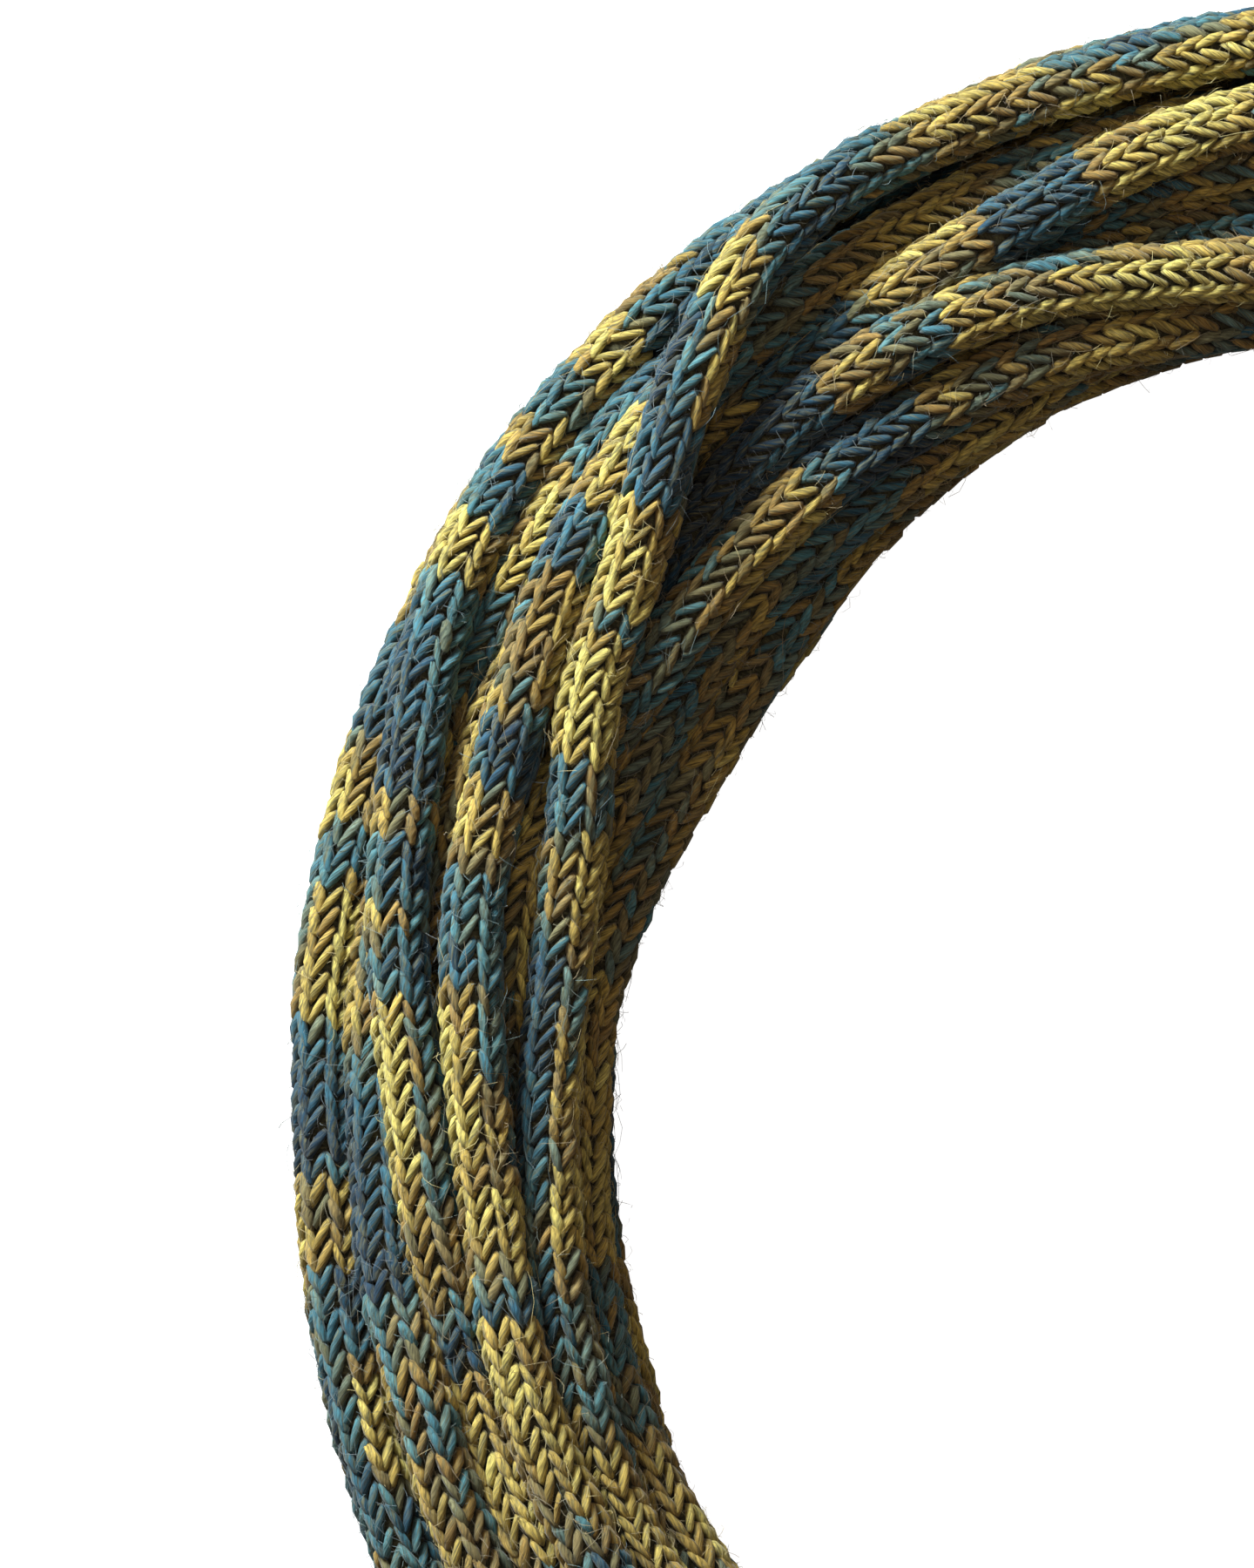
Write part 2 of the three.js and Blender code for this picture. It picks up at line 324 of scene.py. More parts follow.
def winding_order():
    """Each turn's name and rows, in the order that they are wound."""
    order = []
    for name, rows in SHOWN_TURNS.items():
        order.append((name, rows))
        if name == BEFORE_UNDERSIDE:
            for number in range(1, UNDERSIDE_TURNS + 1):
                order.append((f"underside_{number}", underside_rows(number)))
    return order


def lay_turns(order):
    """The place and lift of every turn at every section, and the whole turns wound up."""
    angle = START + np.arange(SECTIONS) * SECTION_STEP
    places = []
    lifts = []
    turned = 0
    for index, (name, rows) in enumerate(order):
        following = order[(index + 1) % len(order)][1][0]
        last = rows[-1][1] + turned
        end = following[1] + TURN * round((last - following[1]) / TURN)
        wound = [(row[0], row[1] + turned, row[2]) for row in rows]
        wound.append((START + TURN, end, following[2]))
        turned = end - following[1]
        places.append(rows_at(wound, angle, 1))
        lifts.append(rows_at(wound, angle, 2))
    return np.array(places), np.array(lifts), turned


def smooth(values, passes, jump=0.0):
    """Values smoothed along the one cord that runs through all the turns."""
    chain = values.ravel().copy()
    for _ in range(passes):
        before = np.roll(chain, 1)
        after = np.roll(chain, -1)
        before[0] -= jump
        after[-1] += jump
        chain = chain * 0.5 + (before + after) * 0.25
    return chain.reshape(values.shape)


def power(values, exponent):
    """Signed power, for a boxy oval."""
    return np.sign(values) * np.abs(values) ** exponent


def settle(out, up, hold):
    """Cords that overlap push each other apart, and each is held near its own place."""
    home_out = out.copy()
    home_up = up.copy()
    own = np.arange(len(out))
    for _ in range(ROUNDS):
        across = out[:, None] - out[None]
        above = up[:, None] - up[None]
        gap = np.sqrt(across**2 + above**2)
        gap[own, own] = PACKED
        push = np.clip(PACKED - gap, 0, None) * SHARE / np.maximum(gap, LEAST_GAP)
        move_out = (across * push).sum(1) + (home_out - out) * hold
        move_up = (above * push).sum(1) + (home_up - up) * hold
        out = out + smooth(move_out, MOVE_SMOOTHING)
        up = up + smooth(move_up, MOVE_SMOOTHING)
        up = np.maximum(up, CORD_RADIUS - SUNK)
    return smooth(out, LAST_SMOOTHING), smooth(up, LAST_SMOOTHING)


def wind_hank(order):
    """How far out and how high each turn runs at every section."""
    place, lift, wound = lay_turns(order)
    place = np.radians(smooth(place, SMOOTHING, wound))
    lift = smooth(lift, SMOOTHING)
    angle = START + np.arange(SECTIONS) * SECTION_STEP
    reach = round_ring(WIDTHS, angle) - CORD_RADIUS + lift
    rise = BUNDLE_HALF_HEIGHT - CORD_RADIUS + lift
    out = round_ring(OUTWARD, angle) + reach * power(np.cos(place), 2 / BOXY)
    up = HEART + rise * power(np.sin(place), 2 / BOXY)
    loose = np.array([name.startswith("underside") for name, rows in order])
    hold = np.where(loose, LOOSE_HOLD, HOLD)[:, None]
    return settle(out, up, hold)


def finer(chain):
    """A closed chain of values with FINER steps for each of its own, on a smooth curve."""
    before = np.roll(chain, 1)
    after = np.roll(chain, -1)
    beyond = np.roll(chain, -2)
    steps = []
    for step in range(FINER):
        t = step / FINER
        steps.append(
            0.5
            * (
                2 * chain
                + (after - before) * t
                + (2 * before - 5 * chain + 4 * after - beyond) * t**2
                + (3 * chain - before - 3 * after + beyond) * t**3
            )
        )
    return np.stack(steps, 1).ravel()


class Path:
    """The whole cord as one closed line, with directions to build round it."""

    def __init__(self, out, up):
        self.count = out.size * FINER
        angle = np.radians(START + np.arange(self.count) * SECTION_STEP / FINER)
        radius = RING + finer(out.ravel())
        height = finer(up.ravel())
        x = radius * np.cos(angle)
        y = radius * np.sin(angle)
        edge_x = (radius + CORD_RADIUS) * np.cos(angle)
        edge_y = (radius + CORD_RADIUS) * np.sin(angle)
        self.shift = np.array(
            [-(edge_x.max() + edge_x.min()) / 2, -(edge_y.max() + edge_y.min()) / 2, 0]
        )
        self.points = np.stack([x, y, height], 1) + self.shift
        ahead = np.roll(self.points, -1, 0) - np.roll(self.points, 1, 0)
        self.along = ahead / np.linalg.norm(ahead, axis=1)[:, None]
        outward = np.stack([np.cos(angle), np.sin(angle), 0 * angle], 1)
        outward -= self.along * (outward * self.along).sum(1)[:, None]
        self.outward = outward / np.linalg.norm(outward, axis=1)[:, None]
        self.upward = np.cross(self.outward, self.along)
        steps = np.linalg.norm(np.roll(self.points, -1, 0) - self.points, axis=1)
        self.lengths = np.concatenate([[0], np.cumsum(steps)])
        self.total = self.lengths[-1]

    def index_at(self, length):
        """The place in the path's own steps, a fraction included, of a length along it."""
        return np.interp(length % self.total, self.lengths, np.arange(self.count + 1))

    def around(self, length, turned, radius):
        """Points at a length along the cord, turned round it and out from its middle."""
        index = self.index_at(length)
        whole = np.floor(index).astype(int)
        part = (index - whole)[..., None]
        here = whole % self.count
        there = (whole + 1) % self.count
        middle = self.points[here] * (1 - part) + self.points[there] * part
        outward = self.outward[here] * (1 - part) + self.outward[there] * part
        upward = self.upward[here] * (1 - part) + self.upward[there] * part
        turned = np.radians(turned)[..., None]
        radius = np.asarray(radius)[..., None]
        found = middle + radius * (np.cos(turned) * outward + np.sin(turned) * upward)
        found[..., 2] = np.maximum(found[..., 2], SURFACE_GAP)
        return found


# How the shown side of a cord is told from the side that lies against other turns: from
# places round it, looking straight out and to both sides
LOOKS = 36
LOOK_STEP = TURN / LOOKS
LOOK_FAN = [-50, -25, 0, 25, 50]
SHADE_RADIUS = 3.3


def open_sides(out, up):
    """Whether each side of each cord can be seen past the other turns, at every section."""
    turned = np.radians(np.arange(LOOKS) * LOOK_STEP)
    from_out = out[:, :, None] + SHADE_RADIUS * np.cos(turned)
    from_up = up[:, :, None] + SHADE_RADIUS * np.sin(turned)
    across = out[None, :, :, None] - from_out[:, None]
    above = up[None, :, :, None] - from_up[:, None]
    own = np.arange(len(out))
    near = np.hypot(across, above)
    near[own, own] = 10 * CORD
    buried = (near < SHADE_RADIUS).any(1)
    seen = np.zeros(buried.shape, bool)
    for look in LOOK_FAN:
        way = turned + math.radians(look)
        ahead = across * np.cos(way) + above * np.sin(way)
        aside = np.abs(across * np.sin(way) - above * np.cos(way))
        blocks = (ahead > 0) & (aside < SHADE_RADIUS)
        blocks[own, own] = False
        seen |= ~blocks.any(1)
    seen &= ~buried
    wide = seen | np.roll(seen, 1, 2) | np.roll(seen, -1, 2)
    chain = wide.reshape(-1, LOOKS)
    return chain | np.roll(chain, 1, 0) | np.roll(chain, -1, 0)


def column_turn(path, length):
    """How far the columns have turned round the cord, so that one faces up in each turn."""
    turn = np.arange(path.count // STEPS_A_TURN) + (FACING_ANGLE - START) / TURN
    marks = np.interp(turn * STEPS_A_TURN, np.arange(path.count + 1), path.lengths)
    extra = []
    for mark in marks:
        wanted = FACING - TWIST * mark
        last = extra[-1] if extra else 0
        extra.append(wanted + COLUMN_WIDTH * round((last - wanted) / COLUMN_WIDTH))
    wander = WANDER * np.sin(length / WANDER_LENGTH)
    return length * TWIST + np.interp(length, marks, extra) + wander


def stitch_places(path, seen):
    """The length, turn round the cord, side and knitting order of each arm that shows."""
    rows = round(path.total / ROW)
    row, column, side = np.meshgrid(
        np.arange(rows), np.arange(COLUMNS), [0, 1], indexing="ij"
    )
    row = row.ravel()
    column = column.ravel()
    side = side.ravel()
    order = row * COLUMNS + column
    length = (row + column / COLUMNS) * path.total / rows
    turned = column * COLUMN_WIDTH + column_turn(path, length)
    middle = turned + np.where(side == 0, STEEP_MIDDLE, SLANTED_MIDDLE) * COLUMN_WIDTH
    index = path.index_at(length)
    section = np.round(index / FINER).astype(int) % len(seen)
    look = np.round(middle / LOOK_STEP).astype(int) % LOOKS
    shown = seen[section, look]
    return {
        "length": length[shown],
        "turned": turned[shown],
        "side": side[shown],
        "order": order[shown],
        "index": index[shown],
    }


# One arm of a stitch, from its tip at the point of the V to its far end. Each ring of its
# skin is a place along the arm, a size and a distance from the cord's middle. Its tip and
# end lie beside its column, as parts of the column's width
ARM_HALF_THICKNESS = 0.72
FINE_ARM = {
    "tip": 3.05, "rings": [(0.15, 0.74, 3.15), (0.5, 1.0, 3.22), (0.85, 0.76, 3.08)], "end": 2.78,
    "points": 6,
}
PLAIN_ARM = {
    "tip": 3.05, "rings": [(0.25, 0.92, 3.2), (0.75, 0.94, 3.13)], "end": 2.78,
    "points": 5,
}
STEEP_ARM = {"length": 4.4, "half_width": 0.66, "tip": -0.17, "end": -0.42}
SLANTED_ARM = {"length": 4.1, "half_width": 0.66, "tip": -0.09, "end": 0.43}

# How uneven the arms are: parts of their length, width and skin, parts of a column's width
# for their tips and ends, and millimetres for their height and their place along the cord
UNEVEN_LENGTH = 0.08
UNEVEN_WIDTH = 0.11
UNEVEN_SKIN = 0.08
UNEVEN_ENDS = 0.04
UNEVEN_HEIGHT = 0.11
UNEVEN_PLACE = 0.16

# How bright the skin of an arm is painted, as painted shade and a painted highlight: shade at its
# tip and end, under it and at its sides, a highlight on top
ENDS_PAINTED_SHADE = 0.5
UNDER_PAINTED_SHADE = 0.25
SIDE_PAINTED_SHADE = 0.72
CROWN_PAINTED_HIGHLIGHT = 1.12

# Where the hank is seen close up: between two ring angles, on its upper side
CLOSE_FROM = 92
CLOSE_TO = 216
CLOSE_ABOVE = -0.2


class Arms:
    """The arms of many stitches in one form: their points, fibres and faces."""

    def __init__(self, path, stitches, form, chance):
        count = len(stitches["length"])
        rounds = [(0.0, 0.0, form["tip"]), *form["rings"], (1.0, 0.0, form["end"])]
        ring = np.arange(form["points"]) / form["points"]
        length = self.by_side(stitches, "length") * chance.normal(1, UNEVEN_LENGTH, count)
        width = self.by_side(stitches, "half_width") * chance.normal(1, UNEVEN_WIDTH, count)
        tip = self.by_side(stitches, "tip") + chance.normal(0, UNEVEN_ENDS, count)
        end = self.by_side(stitches, "end") + chance.normal(0, UNEVEN_ENDS, count)
        raised = chance.normal(0, UNEVEN_HEIGHT, count)
        moved = stitches["length"] + chance.normal(0, UNEVEN_PLACE, count)
        seed = chance.random(count) * FIBRE_SEEDS
        points = []
        fibres = []
        painted_shading = []
        for at, size, radius in rounds:
            spots = ring if size else np.zeros(1)
            shape = (count, len(spots))
            spread = at * at * (3 - 2 * at)
            uneven = size * chance.normal(1, UNEVEN_SKIN, shape)
            far = (radius + raised)[:, None]
            aside = uneven * width[:, None] * np.cos(2 * math.pi * spots)
            outer = far + uneven * ARM_HALF_THICKNESS * np.sin(2 * math.pi * spots)
            turned = stitches["turned"] + (tip + (end - tip) * spread) * COLUMN_WIDTH
            turned = turned[:, None] + np.degrees(aside / far)
            along = np.broadcast_to((moved + (0.5 - at) * length)[:, None], shape)
            points.append(path.around(along, turned, outer))
            run = np.empty((*shape, 3))
            run[..., 0] = at
            run[..., 1] = spots + FIBRE_TWIST * at
            run[..., 2] = seed[:, None]
            fibres.append(run)
            # Painted shade and highlight: the skin is darker underneath, at the sides and at the
            # tip and end, and lighter on top
            height = np.sin(2 * math.pi * spots) if size else np.zeros(1)
            tone = np.interp(height, [-1, 0, 1], [UNDER_PAINTED_SHADE, SIDE_PAINTED_SHADE, CROWN_PAINTED_HIGHLIGHT])
            painted_shading += list(tone if size else [ENDS_PAINTED_SHADE])
        self.points = np.concatenate(points, 1)
        self.fibres = np.concatenate(fibres, 1)
        self.painted_shading = np.array(painted_shading)
        self.quads, self.triangles = self.skin(len(form["rings"]), form["points"])

    @staticmethod
    def by_side(stitches, measure):
        """A measure of the steep arms or the slanted ones, for each arm."""
        return np.where(stitches["side"] == 0, STEEP_ARM[measure], SLANTED_ARM[measure])

    def skin(self, rings, spots):
        """The four-sided and three-sided faces of all the arms."""
        quads = []
        triangles = []
        last = 1 + rings * spots
        for spot in range(spots):
            beside = (spot + 1) % spots
            far = last - spots
            triangles.append((0, 1 + spot, 1 + beside))
            triangles.append((last, far + beside, far + spot))
            for here in range(1, far, spots):
                there = here + spots
                quads.append((here + spot, there + spot, there + beside, here + beside))
        count, size = self.points.shape[:2]
        first = (np.arange(count) * size)[:, None, None]
        quads = (np.array(quads)[None] + first).reshape(-1, 4)
        triangles = (np.array(triangles)[None] + first).reshape(-1, 3)
        return quads, triangles


def slow_waves(waves, order):
    """The sum of waves of a size, stretched out over many stitches, from their starts."""
    return sum(size * np.sin(order / stretch + start) for size, stretch, start in waves)


def yarn_wave(order, chance):
    """The dyed repeat of the fine yarn, as the stitches take it up one after another."""
    drift = slow_waves(REPEAT_DRIFTS, order)
    patches = smooth(chance.normal(0, 1, round(order.max()) + 3), PATCH_SMOOTHING)
    patch = np.interp(order, np.arange(len(patches)), patches)
    repeat = np.sin(2 * math.pi * order / REPEAT + drift)
    return repeat + slow_waves(LONG_WAVES, order) + PATCHES * patch


def yarn_colour(value):
    """The yarn's colour on the scale from blue to yellow."""
    stops = [stop[0] for stop in YARN_COLOURS]
    return np.stack(
        [np.interp(value, stops, [stop[1][part] for stop in YARN_COLOURS]) for part in range(3)],
        -1,
    )


def turn_colours(order, stitches, chance):
    """The place of each arm on the scale from blue to yellow, its turn and its ring angle."""
    turn = (stitches["index"] // STEPS_A_TURN).astype(int) % len(order)
    angle = START + (stitches["index"] % STEPS_A_TURN) * SECTION_STEP / FINER
    swap = SWAP * np.sin(stitches["length"] / SWAP_LENGTH + SWAP_START) * (2 * stitches["side"] - 1)
    wave = yarn_wave(stitches["order"] + stitches["side"] * SECOND_ARM, chance) + swap
    value = PLAIN_REPEAT * wave + PLAIN_YELLOWER
    for number, (name, rows) in enumerate(order):
        here = turn == number
        if name in TURN_COLOURS:
            own_rows = TURN_COLOURS[name]
            after_first = np.clip((angle - own_rows[0][0]) / COLOUR_FADE + 1, 0, 1)
            before_last = np.clip((own_rows[-1][0] - angle) / COLOUR_FADE + 1, 0, 1)
            inside = after_first * before_last
            outer = np.cos(np.radians(stitches["turned"]))
            wanted = rows_at(own_rows, angle, 1) + rows_at(own_rows, angle, 2) * outer
            own = wanted + OWN_REPEAT * wave + OWN_YELLOWER
            value = np.where(here, value * (1 - inside) + own * inside, value)
    return value + chance.normal(0, ARM_COLOUR, len(value)), turn, angle


def make_mesh(name, points, quads, triangles):
    """A joined mesh in metres from its points and faces."""
    mesh = bpy.data.meshes.new(name)
    mesh.vertices.add(len(points))
    mesh.vertices.foreach_set("co", (points * MM).astype(np.float32).ravel())
    corners = np.concatenate([quads.ravel(), triangles.ravel()]).astype(np.int32)
    starts = np.concatenate(
        [np.arange(len(quads)) * 4, len(quads) * 4 + np.arange(len(triangles)) * 3]
    ).astype(np.int32)
    mesh.loops.add(len(corners))
    mesh.loops.foreach_set("vertex_index", corners)
    mesh.polygons.add(len(starts))
    mesh.polygons.foreach_set("loop_start", starts)
    mesh.update(calc_edges=True)
    mesh.validate()
    mesh.shade_smooth()
    return mesh


def give_colour(mesh, colours):
    """A colour on each point of the mesh."""
    layer = mesh.color_attributes.new("yarn colour and painted shade", "FLOAT_COLOR", "POINT")
    filled = np.ones((len(colours), 4), np.float32)
    filled[:, :3] = colours
    layer.data.foreach_set("color", filled.ravel())


def give_fibres(mesh, fibres):
    """What the fibres follow, on each point of the mesh."""
    layer = mesh.attributes.new("fibre run", "FLOAT_VECTOR", "POINT")
    layer.data.foreach_set("vector", fibres.astype(np.float32).ravel())


def add_piece(name, mesh, material):
    """A piece of the hank, in its scene and on its body."""
    piece = bpy.data.objects.new(name, mesh)
    bpy.context.scene.collection.objects.link(piece)
    piece.data.materials.append(material)
    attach(piece, "root")
    return piece


def knit_turn(name, path, stitches, colours, close, chance, material):
    """The stitch arms of one turn as one piece, in the fine form where they are seen close."""
    points = []
    fibres = []
    colours_with_painted_shade = []
    quads = []
    triangles = []
    first = 0
    for form, chosen in ((FINE_ARM, close), (PLAIN_ARM, ~close)):
        arms = Arms(path, {key: value[chosen] for key, value in stitches.items()}, form, chance)
        count, size = arms.points.shape[:2]
        points.append(arms.points.reshape(-1, 3))
        fibres.append(arms.fibres.reshape(-1, 3))
        # Each stitch's colour times the arm's painted shade and highlight
        colours_with_painted_shade.append((colours[chosen][:, None] * arms.painted_shading[:, None]).reshape(-1, 3))
        quads.append(arms.quads + first)
        triangles.append(arms.triangles + first)
        first += count * size
    mesh = make_mesh(
        name, np.concatenate(points), np.concatenate(quads), np.concatenate(triangles)
    )
    give_colour(mesh, np.concatenate(colours_with_painted_shade))
    give_fibres(mesh, np.concatenate(fibres))
    return add_piece(name, mesh, material)


# The inside of the knitted tube, painted dark as shade and seen only in the gaps between arms. The
# last of all its rings stops just short of the cord's whole length, which counts as its start again
CORE_RADIUS = 2.7
CORE_POINTS = 10
CORE_STEPS = 90
JUST_SHORT = 1e-6


def core_turn(name, path, number, colour, material):
    """The inside of one turn, as a tube that runs on into the next turn's."""
    index = (number + np.arange(CORE_STEPS + 1) / CORE_STEPS) * STEPS_A_TURN
    length = np.interp(index, np.arange(path.count + 1), path.lengths)
    turned = np.arange(CORE_POINTS) * TURN / CORE_POINTS
    length = np.broadcast_to(length[:, None], (CORE_STEPS + 1, CORE_POINTS))
    turned = np.broadcast_to(turned[None], length.shape)
    points = path.around(length - JUST_SHORT, turned, np.full(length.shape, CORE_RADIUS))
    step, spot = np.meshgrid(np.arange(CORE_STEPS), np.arange(CORE_POINTS), indexing="ij")
    beside = (spot + 1) % CORE_POINTS
    here = step * CORE_POINTS
    there = here + CORE_POINTS
    quads = np.stack([here + spot, here + beside, there + beside, there + spot], -1)
    mesh = make_mesh(name, points.reshape(-1, 3), quads.reshape(-1, 4), np.zeros((0, 3), int))
    give_colour(mesh, np.broadcast_to(colour, (length.size, 3)))
    flat = np.zeros((length.size, 3))
    flat[:, 0] = length.ravel()
    flat[:, 1] = turned.ravel() / TURN
    give_fibres(mesh, flat)
    return add_piece(name, mesh, material)


def shader_nodes(tree, kind, **settings):
    """A new node, with its settings."""
    node = tree.nodes.new(kind)
    for key, value in settings.items():
        setattr(node, key, value)
    return node


# Fibres of another colour that are mixed into the wool
MIXED_IN_COLOUR = (0.105, 0.100, 0.050, 1)
BUMP_HEIGHT = 0.12


def fibre_group():
    """Fine fibres that run along each arm: a tone and a hue for the colour, and a height."""
    group = bpy.data.node_groups.new("wool fibres", "ShaderNodeTree")
    group.interface.new_socket("Fibre Run", in_out="INPUT", socket_type="NodeSocketVector")
    group.interface.new_socket("Tone", in_out="OUTPUT", socket_type="NodeSocketFloat")
    group.interface.new_socket("Mixed Fibres", in_out="OUTPUT", socket_type="NodeSocketFloat")
    group.interface.new_socket("Height", in_out="OUTPUT", socket_type="NodeSocketFloat")
    taken = group.nodes.new("NodeGroupInput")
    given = group.nodes.new("NodeGroupOutput")
    for scale, detail, low, high, output in (
        ((3.2, 17.0, 1.0), 5.0, 0.22, 1.75, "Tone"),
        ((2.2, 12.0, 1.7), 3.0, -0.55, 0.9, "Mixed Fibres"),
    ):
        stretch = shader_nodes(group, "ShaderNodeMapping")
        stretch.inputs["Scale"].default_value = scale
        noise = shader_nodes(group, "ShaderNodeTexNoise")
        noise.inputs["Scale"].default_value = 1.0
        noise.inputs["Detail"].default_value = detail
        noise.inputs["Roughness"].default_value = 0.6
        ranged = shader_nodes(group, "ShaderNodeMapRange")
        ranged.inputs["From Min"].default_value = 0.3
        ranged.inputs["From Max"].default_value = 0.7
        ranged.inputs["To Min"].default_value = low
        ranged.inputs["To Max"].default_value = high
        group.links.new(taken.outputs["Fibre Run"], stretch.inputs["Vector"])
        group.links.new(stretch.outputs["Vector"], noise.inputs["Vector"])
        group.links.new(noise.outputs["Fac"], ranged.inputs["Value"])
        group.links.new(ranged.outputs["Result"], given.inputs[output])
        if output == "Tone":
            group.links.new(noise.outputs["Fac"], given.inputs["Height"])
    return group


def wool_material(name, fibres, bump, sheen):
    """Dull wool with fine mixed fibres and a soft sheen, in the colour on its points: each stitch's
    own colour, with painted shade and highlight on the arms and painted shade on the insides.
    """
    material = bpy.data.materials.new(name)
    material.use_nodes = True
    tree = material.node_tree
    shader = tree.nodes["Principled BSDF"]
    colour = shader_nodes(tree, "ShaderNodeAttribute", attribute_name="yarn colour and painted shade")
    run = shader_nodes(tree, "ShaderNodeAttribute", attribute_name="fibre run")
    group = shader_nodes(tree, "ShaderNodeGroup", node_tree=fibres)
    toned = shader_nodes(tree, "ShaderNodeVectorMath", operation="SCALE")
    mixed = shader_nodes(tree, "ShaderNodeMix", data_type="RGBA", clamp_factor=True)
    mixed.inputs[7].default_value = MIXED_IN_COLOUR
    raised = shader_nodes(tree, "ShaderNodeBump")
    raised.inputs["Strength"].default_value = bump
    raised.inputs["Distance"].default_value = BUMP_HEIGHT * MM
    tree.links.new(run.outputs["Vector"], group.inputs["Fibre Run"])
    tree.links.new(colour.outputs["Color"], mixed.inputs[6])
    tree.links.new(group.outputs["Mixed Fibres"], mixed.inputs[0])
    tree.links.new(mixed.outputs[2], toned.inputs[0])
    tree.links.new(group.outputs["Tone"], toned.inputs["Scale"])
    tree.links.new(toned.outputs["Vector"], shader.inputs["Base Color"])
    tree.links.new(group.outputs["Height"], raised.inputs["Height"])
    tree.links.new(raised.outputs["Normal"], shader.inputs["Normal"])
    shader.inputs["Roughness"].default_value = 0.86
    shader.inputs["Specular IOR Level"].default_value = 0.25
    shader.inputs["Sheen Weight"].default_value = sheen
    shader.inputs["Sheen Roughness"].default_value = 0.45
    return material


# Loose fibres that stand off the knitted surface: how many, the pieces of each, its width,
# how far from the cord's middle it starts, and the part of them that is seen close up
FUZZ_COUNT = 24000
FUZZ_STEPS = 3
FUZZ_WIDTH = 0.05
FUZZ_START = 3.5
CLOSE_SHARE = 0.7

# How they spread: their places along and round the cord, how far they stand off, how far
# they run and swing, how much they curl, and the part of them that runs longer
FUZZ_ALONG = 1.5
FUZZ_ROUND = 30
FUZZ_REACH_SHAPE = 2.0
FUZZ_REACH_SCALE = 0.3
FUZZ_REACH_LEAST = 0.1
FUZZ_REACH_MOST = 2.4
FUZZ_RUN = 1.7
FUZZ_SWING = 22
CURL_LEAST = 1.2
CURL_MOST = 2.6
LONG_SHARE = 0.2
LONGER = 2.2

# They are paler than the stitches that they leave
FUZZ_TONE = 0.8
FUZZ_PALER = 0.1


def fuzz_piece(path, stitches, colours, close, chance, material):
    """Loose fibres, each a thin curved ribbon that leaves an arm and bends along the cord."""
    near = round(FUZZ_COUNT * CLOSE_SHARE)
    chosen = np.concatenate([
        chance.choice(np.flatnonzero(close), near),
        chance.choice(np.flatnonzero(~close), FUZZ_COUNT - near),
    ])
    longer = np.where(chance.random(FUZZ_COUNT) < LONG_SHARE, LONGER, 1)
    length = stitches["length"][chosen] + chance.normal(0, FUZZ_ALONG, FUZZ_COUNT)
    turned = stitches["turned"][chosen] + chance.uniform(-FUZZ_ROUND, FUZZ_ROUND, FUZZ_COUNT)
    reach = chance.gamma(FUZZ_REACH_SHAPE, FUZZ_REACH_SCALE, FUZZ_COUNT)
    reach = reach.clip(FUZZ_REACH_LEAST, FUZZ_REACH_MOST)
    run = chance.normal(0, FUZZ_RUN, FUZZ_COUNT) * longer
    swing = chance.normal(0, FUZZ_SWING, FUZZ_COUNT)
    curl = chance.uniform(CURL_LEAST, CURL_MOST, FUZZ_COUNT)
    line = []
    for step in range(FUZZ_STEPS + 1):
        at = step / FUZZ_STEPS
        height = FUZZ_START + reach * np.sin(at * curl)
        line.append(path.around(length + run * at, turned + swing * at * at, height))
    line = np.stack(line, 1)
    ahead = np.gradient(line, axis=1)
    side = np.cross(ahead, chance.normal(0, 1, (FUZZ_COUNT, 1, 3)))
    side /= np.linalg.norm(side, axis=2)[..., None] + 1e-9
    points = np.stack([line - side * FUZZ_WIDTH / 2, line + side * FUZZ_WIDTH / 2], 2)
    points[..., 2] = np.maximum(points[..., 2], SURFACE_GAP)
    size = (FUZZ_STEPS + 1) * 2
    quads = []
    for step in range(FUZZ_STEPS):
        here = step * 2
        quads.append((here, here + 1, here + 3, here + 2))
    first = (np.arange(FUZZ_COUNT) * size)[:, None, None]
    quads = (np.array(quads)[None] + first).reshape(-1, 4)
    mesh = make_mesh("loose_fibres", points.reshape(-1, 3), quads, np.zeros((0, 3), int))
    pale = colours[chosen] * FUZZ_TONE + FUZZ_PALER
    give_colour(mesh, np.repeat(pale, size, 0))
    give_fibres(mesh, np.zeros((FUZZ_COUNT * size, 3)))
    return add_piece("loose_fibres", mesh, material)


def floor_material():
    """A plain floor that the camera sees as white."""
    material = bpy.data.materials.new("pale floor")
    material.use_nodes = True
    tree = material.node_tree
    shader = tree.nodes["Principled BSDF"]
    shader.inputs["Base Color"].default_value = (0.35, 0.35, 0.35, 1)
    shader.inputs["Roughness"].default_value = 0.9
    shader.inputs["Emission Color"].default_value = (1, 1, 1, 1)
    seen = shader_nodes(tree, "ShaderNodeLightPath")
    tree.links.new(seen.outputs["Is Camera Ray"], shader.inputs["Emission Strength"])
    return material


# From the middle of the floor to its sides
FLOOR_REACH = 3000


def make_floor():
    """The surface that the hank lies on."""
    size = FLOOR_REACH * MM
    mesh = bpy.data.meshes.new("floor")
    corners = [(-size, -size, 0), (size, -size, 0), (size, size, 0), (-size, size, 0)]
    mesh.from_pydata(corners, [], [(0, 1, 2, 3)])
    floor = bpy.data.objects.new("floor", mesh)
    bpy.context.scene.collection.objects.link(floor)
    floor.data.materials.append(floor_material())


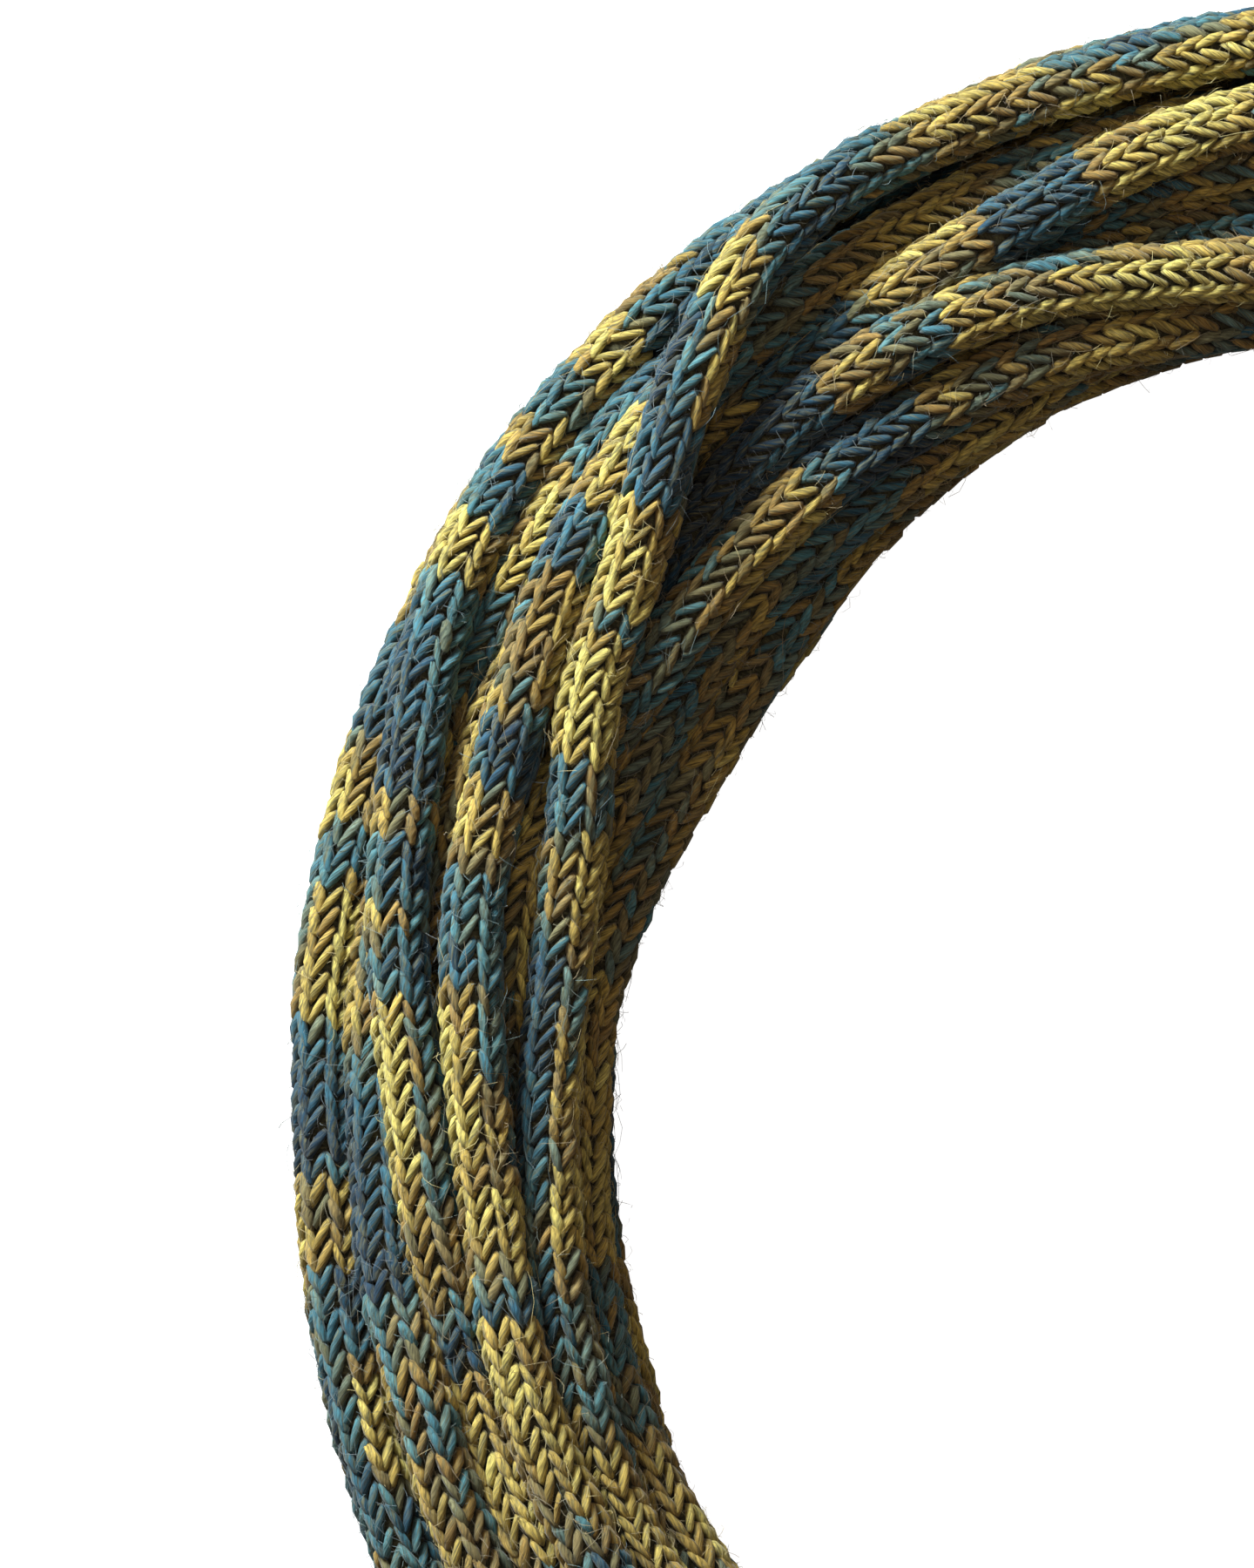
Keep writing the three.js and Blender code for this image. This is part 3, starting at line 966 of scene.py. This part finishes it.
def add_light(name, power_watts, size, place, target, colour):
    """A square soft light that faces a point, both in millimetres."""
    light = bpy.data.lights.new(name, "AREA")
    light.color = colour
    light.energy = power_watts
    light.size = size * MM
    lamp = bpy.data.objects.new(name, light)
    lamp.location = Vector(place) * MM
    way = (Vector(place) - Vector(target)) * MM
    lamp.rotation_euler = way.to_track_quat("Z", "Y").to_euler()
    bpy.context.scene.collection.objects.link(lamp)


# The camera looks straight down on the part of the ring that the picture shows
PICTURE_MIDDLE = (-90.8, 39.3)
PICTURE_HEIGHT = 180
CROWN_HEIGHT = 21
LENS = 180
SENSOR = 36


def make_camera(shift):
    """The camera, moved with the ring so that it frames the same part of it."""
    camera = bpy.data.cameras.new("camera")
    camera.lens = LENS
    camera.sensor_width = SENSOR
    camera.sensor_fit = "AUTO"
    distance = PICTURE_HEIGHT * LENS / SENSOR
    stand = bpy.data.objects.new("camera", camera)
    stand.location = (
        (PICTURE_MIDDLE[0] + shift[0]) * MM,
        (PICTURE_MIDDLE[1] + shift[1]) * MM,
        (CROWN_HEIGHT + distance) * MM,
    )
    camera.clip_start = 0.01
    camera.clip_end = 10
    bpy.context.scene.collection.objects.link(stand)
    bpy.context.scene.camera = stand


# The room is brightest towards the window and dark on the side away from it
ROOM_BRIGHT_WAY = (-0.55, 0.68, 0.48)
ROOM_DARK = 0.02
ROOM_BRIGHT = 0.33


def room_world():
    """A dim warm room that grows darker away from the window."""
    world = bpy.data.worlds.new("room")
    world.use_nodes = True
    tree = world.node_tree
    sky = tree.nodes["Background"]
    sky.inputs["Color"].default_value = (1, 0.8, 0.74, 1)
    way = shader_nodes(tree, "ShaderNodeTexCoord")
    towards = shader_nodes(tree, "ShaderNodeVectorMath", operation="DOT_PRODUCT")
    towards.inputs[1].default_value = ROOM_BRIGHT_WAY
    strength = shader_nodes(tree, "ShaderNodeMapRange")
    strength.inputs["From Min"].default_value = -1
    strength.inputs["To Min"].default_value = ROOM_DARK
    strength.inputs["To Max"].default_value = ROOM_BRIGHT
    tree.links.new(way.outputs["Generated"], towards.inputs[0])
    tree.links.new(towards.outputs["Value"], strength.inputs["Value"])
    tree.links.new(strength.outputs["Result"], sky.inputs["Strength"])
    return world


def light_scene():
    """A strong soft light from the upper left, a weak one from above, and a dim room."""
    target = (-100, 30, 20)
    add_light("window", power_watts=26.5, size=360, place=(-590, 700, 430), target=target,
              colour=(0.93, 1, 1))
    add_light("ceiling", power_watts=0.9, size=600, place=(-60, 160, 760), target=target,
              colour=(1, 0.9, 0.75))
    bpy.context.scene.world = room_world()
    bpy.context.scene.view_settings.view_transform = "Standard"


SEED = 11


def build_hank():
    """The knitted turns, their insides painted dark as shade, and the loose fibres."""
    chance = np.random.default_rng(SEED)
    order = winding_order()
    out, up = wind_hank(order)
    path = Path(out, up)
    seen = open_sides(out, up)
    stitches = stitch_places(path, seen)
    values, turn, angle = turn_colours(order, stitches, chance)
    colours = yarn_colour(values)
    brightness = chance.normal(1, ARM_BRIGHTNESS, len(colours)).clip(DULLEST, BRIGHTEST)
    colours = colours * brightness[:, None]
    close = (angle > CLOSE_FROM) & (angle < CLOSE_TO)
    close &= np.sin(np.radians(stitches["turned"])) > CLOSE_ABOVE
    group = fibre_group()
    wool = wool_material("knitted wool", group, bump=0.8, sheen=0.12)
    inside = wool_material("wool inside", group, bump=0.3, sheen=0.1)
    hair = wool_material("wool hair", group, bump=0.0, sheen=0.2)
    pieces = []
    for number, (name, rows) in enumerate(order):
        here = turn == number
        own = {key: value[here] for key, value in stitches.items()}
        pieces.append(
            knit_turn(f"stitches_{name}", path, own, colours[here], close[here], chance, wool)
        )
        # Painted shade: the inside takes the mean colour of the turn's stitches, darkened
        dark = colours[here].mean(0) * INSIDE_SHADE
        pieces.append(core_turn(f"inside_{name}", path, number, dark, inside))
    pieces.append(fuzz_piece(path, stitches, colours, close, chance, hair))
    for piece in pieces:
        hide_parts("yarn_hank")
    faces = sum(len(polygon.vertices) - 2 for piece in pieces for polygon in piece.data.polygons)
    print("stitch arms", len(turn), "triangles", faces, "cord length", round(path.total), "mm")
    return path


path = build_hank()
make_floor()
make_camera(path.shift)
light_scene()
